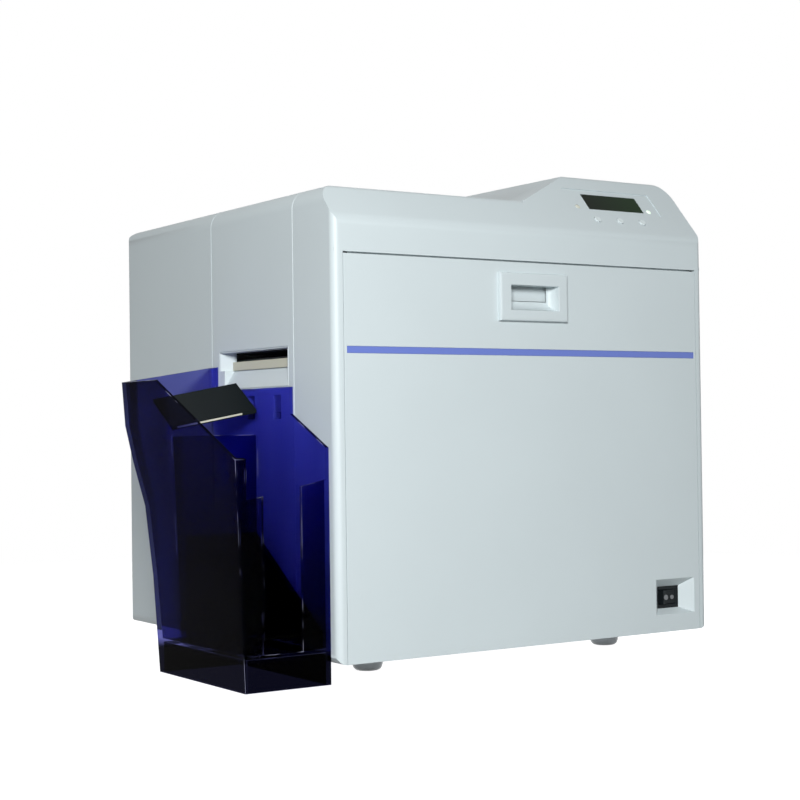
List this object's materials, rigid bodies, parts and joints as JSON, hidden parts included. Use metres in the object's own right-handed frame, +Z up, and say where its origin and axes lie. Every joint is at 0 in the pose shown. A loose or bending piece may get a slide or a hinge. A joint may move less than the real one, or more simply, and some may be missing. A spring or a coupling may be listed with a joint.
{
  "type": "id card printer",
  "caption": "Desktop id card printer with a drop-down front door, a sloped control panel, inner film and ribbon cassettes, and a lift-off card hopper on its left side.",
  "frame": {"origin": "on the surface that the printer stands on, under the middle of the whole printer with its hopper", "axes": "+X to the right seen from the front, away from the hopper; +Y from the front door to the back; +Z up"},
  "size_m": [0.4178, 0.352, 0.3715],
  "materials": {
    "shell_plastic": "fine texture",
    "door_plastic": "fine texture",
    "stripe_blue": "gloss",
    "hopper_blue": "translucent gloss",
    "deflector_black": "satin",
    "exit_plastic": "satin",
    "lip_beige": "satin",
    "foot_rubber": "satin",
    "zinc_steel": "zinc plated",
    "shaft_steel": "ground",
    "plate_steel": "zinc plated",
    "liner_plastic": "satin",
    "inner_grey": "satin",
    "inner_black": "satin",
    "roller_rubber": "ground",
    "roller_grey": "ground",
    "belt_rubber": "matt",
    "gear_plastic": "moulded",
    "motor_metal": "cast",
    "psu_metal": "sheet",
    "board_green": "solder mask",
    "lcd_glass": "gloss",
    "led_clear": "diffusing",
    "button_plastic": "satin",
    "film_clear": "film",
    "ribbon_dark": "film",
    "spool_plastic": "moulded",
    "cassette_blue": "satin",
    "cassette_grey": "satin"
  },
  "bodies": {
    "printer": {"front_frame": "shell_plastic", "middle_cover": "shell_plastic", "rear_cover": "shell_plastic", "base_tray": "plate_steel", "feet": "foot_rubber", "cover_screws": "zinc_steel", "hinge_brackets": "zinc_steel", "hinge_pins": "shaft_steel", "switch_housing": "inner_black", "lcd_window": "lcd_glass", "led_lenses": "led_clear", "control_board": "board_green", "exit_bezel": "exit_plastic", "exit_lip": "lip_beige", "mechanism_front_plate": "plate_steel", "mechanism_rear_plate": "plate_steel", "card_guides": "inner_grey", "card_magazine": "inner_grey", "timing_belt": "belt_rubber", "drive_motor": "motor_metal", "film_cassette": "cassette_blue", "ribbon_cassette": "cassette_grey", "power_supply": "psu_metal", "main_board": "board_green", "fan_frame": "inner_black", "power_inlet": "inner_black", "data_ports": "zinc_steel"},
    "door": {"front_door": "door_plastic", "door_stripe": "stripe_blue", "door_liner": "liner_plastic", "handle_bezel": "door_plastic"},
    "latch": {"latch_paddle": "door_plastic", "latch_shaft": "shaft_steel", "latch_hooks": "zinc_steel"},
    "rocker": {"power_rocker": "inner_black"},
    "left_button": {"left_menu_button": "button_plastic"},
    "middle_button": {"middle_menu_button": "button_plastic"},
    "right_button": {"right_menu_button": "button_plastic"},
    "hopper": {"hopper_shell": "hopper_blue", "hopper_ramp": "hopper_blue", "card_deflector": "deflector_black"},
    "feed_shaft": {"feed_roller": "roller_rubber", "drive_gear": "gear_plastic"},
    "pick_shaft": {"pick_roller": "roller_rubber"},
    "exit_shaft": {"exit_roller": "roller_rubber"},
    "heat_shaft": {"heat_roller": "shaft_steel"},
    "counter_shaft": {"counter_roller": "roller_grey"},
    "platen_shaft": {"platen_roller": "roller_grey"},
    "pinion": {"motor_pinion": "shaft_steel"},
    "film_supply": {"film_supply_core": "spool_plastic", "film_supply_roll": "film_clear"},
    "film_takeup": {"film_takeup_core": "spool_plastic", "film_takeup_roll": "film_clear"},
    "ribbon_supply": {"ribbon_supply_core": "spool_plastic", "ribbon_supply_roll": "ribbon_dark"},
    "ribbon_takeup": {"ribbon_takeup_core": "spool_plastic", "ribbon_takeup_roll": "ribbon_dark"},
    "fan": {"fan_rotor": "inner_black"},
    "head": {"print_head": "motor_metal"}
  },
  "joints": [
    {"name": "door_hinge", "type": "hinge", "parent": "printer", "child": "door", "pos_m": [0.0374, -0.1645, 0.023], "axis": [1, 0, 0], "range_deg": [0, 90]},
    {"name": "latch_turn", "type": "hinge", "parent": "door", "child": "latch", "pos_m": [0.0374, -0.1561, 0.2878], "axis": [-1, 0, 0], "range_deg": [0, 10], "stiffness_Nm_per_rad": 0.2, "springref_deg": -5.73},
    {"name": "power_switch", "type": "hinge", "parent": "printer", "child": "rocker", "pos_m": [0.17425, -0.1625, 0.0401], "axis": [0, 0, -1], "range_deg": [0, 28]},
    {"name": "hopper_lift", "type": "slide", "parent": "printer", "child": "hopper", "axis": [0, 0, 1], "range_m": [0, 0.012]},
    {"name": "left_button_press", "type": "slide", "parent": "printer", "child": "left_button", "axis": [0, 0.7547, -0.6561], "range_m": [0, 0.0008], "stiffness_N_per_m": 300, "springref_m": -0.001},
    {"name": "middle_button_press", "type": "slide", "parent": "printer", "child": "middle_button", "axis": [0, 0.7547, -0.6561], "range_m": [0, 0.0008], "stiffness_N_per_m": 300, "springref_m": -0.001},
    {"name": "right_button_press", "type": "slide", "parent": "printer", "child": "right_button", "axis": [0, 0.7547, -0.6561], "range_m": [0, 0.0008], "stiffness_N_per_m": 300, "springref_m": -0.001},
    {"name": "feed_turn", "type": "hinge", "parent": "printer", "child": "feed_shaft", "pos_m": [0.0974, -0.0625, 0.2197], "axis": [0, -1, 0], "continuous": true},
    {"name": "pick_turn", "type": "hinge", "parent": "printer", "child": "pick_shaft", "pos_m": [0.1624, -0.0625, 0.2197], "axis": [0, -1, 0], "continuous": true},
    {"name": "exit_turn", "type": "hinge", "parent": "printer", "child": "exit_shaft", "pos_m": [-0.1026, -0.0625, 0.2197], "axis": [0, -1, 0], "continuous": true},
    {"name": "heat_turn", "type": "hinge", "parent": "printer", "child": "heat_shaft", "pos_m": [0.0174, -0.0625, 0.2165], "axis": [0, -1, 0], "continuous": true},
    {"name": "counter_turn", "type": "hinge", "parent": "printer", "child": "counter_shaft", "pos_m": [0.0174, -0.0625, 0.2409], "axis": [0, -1, 0], "continuous": true},
    {"name": "pinion_turn", "type": "hinge", "parent": "printer", "child": "pinion", "pos_m": [0.0974, -0.0625, 0.1917], "axis": [0, -1, 0], "continuous": true},
    {"name": "film_supply_turn", "type": "hinge", "parent": "printer", "child": "film_supply", "pos_m": [-0.0676, -0.0625, 0.16], "axis": [0, 1, 0], "continuous": true},
    {"name": "film_takeup_turn", "type": "hinge", "parent": "printer", "child": "film_takeup", "pos_m": [-0.0126, -0.0625, 0.1], "axis": [0, 1, 0], "continuous": true},
    {"name": "platen_turn", "type": "hinge", "parent": "printer", "child": "platen_shaft", "pos_m": [0.0374, -0.0625, 0.19], "axis": [0, 1, 0], "continuous": true},
    {"name": "ribbon_supply_turn", "type": "hinge", "parent": "printer", "child": "ribbon_supply", "pos_m": [0.0994, -0.0625, 0.12], "axis": [0, 1, 0], "continuous": true},
    {"name": "ribbon_takeup_turn", "type": "hinge", "parent": "printer", "child": "ribbon_takeup", "pos_m": [0.1524, -0.0625, 0.07], "axis": [0, 1, 0], "continuous": true},
    {"name": "fan_turn", "type": "hinge", "parent": "printer", "child": "fan", "pos_m": [-0.0526, -0.0625, 0.12], "axis": [0, 1, 0], "continuous": true},
    {"name": "head_lift", "type": "hinge", "parent": "printer", "child": "head", "pos_m": [0.0594, -0.0625, 0.16], "axis": [0, 1, 0], "range_deg": [0, 6]}
  ],
  "couplings": [
    {"joint": "pinion_turn", "follows": "feed_turn", "ratio": -3},
    {"joint": "pick_turn", "follows": "feed_turn", "ratio": 1},
    {"joint": "exit_turn", "follows": "feed_turn", "ratio": 1},
    {"joint": "heat_turn", "follows": "feed_turn", "ratio": 0.71429},
    {"joint": "counter_turn", "follows": "feed_turn", "ratio": -1.1111},
    {"joint": "film_takeup_turn", "follows": "film_supply_turn", "ratio": 1.4545},
    {"joint": "platen_turn", "follows": "film_supply_turn", "ratio": 3.2},
    {"joint": "ribbon_takeup_turn", "follows": "ribbon_supply_turn", "ratio": 1.2}
  ]
}
